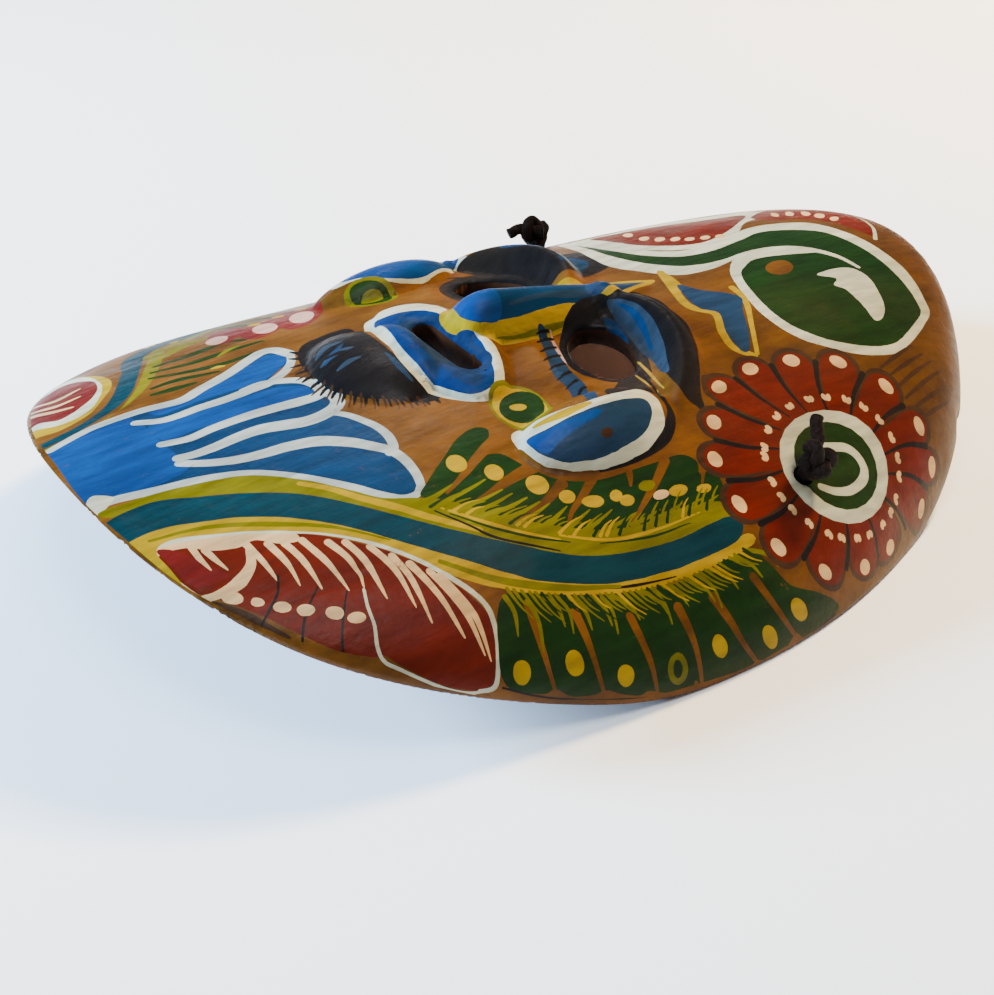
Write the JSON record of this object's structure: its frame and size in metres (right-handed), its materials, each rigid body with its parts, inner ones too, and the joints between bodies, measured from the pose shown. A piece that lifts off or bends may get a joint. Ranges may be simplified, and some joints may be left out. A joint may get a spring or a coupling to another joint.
{
  "type": "painted terracotta mask",
  "caption": "Hollow fired clay face mask with modelled nose, brows, cheeks, lips and goatee, open eyes and mouth, and a knotted hanging cord.",
  "frame": {"origin": "on the table, under the middle of the mask lying face up", "axes": "+X from the chin to the forehead, +Y toward the wearer's right, +Z out of the face"},
  "size_m": [0.2406, 0.1876, 0.0546],
  "materials": {
    "painted_clay": "fired terracotta with satin varnished paint",
    "cord": "dark worn cord"
  },
  "bodies": {
    "root": {"terracotta_mask": "painted_clay", "hanging_cord": "cord", "left_knot": "cord", "right_knot": "cord"}
  },
  "joints": []
}
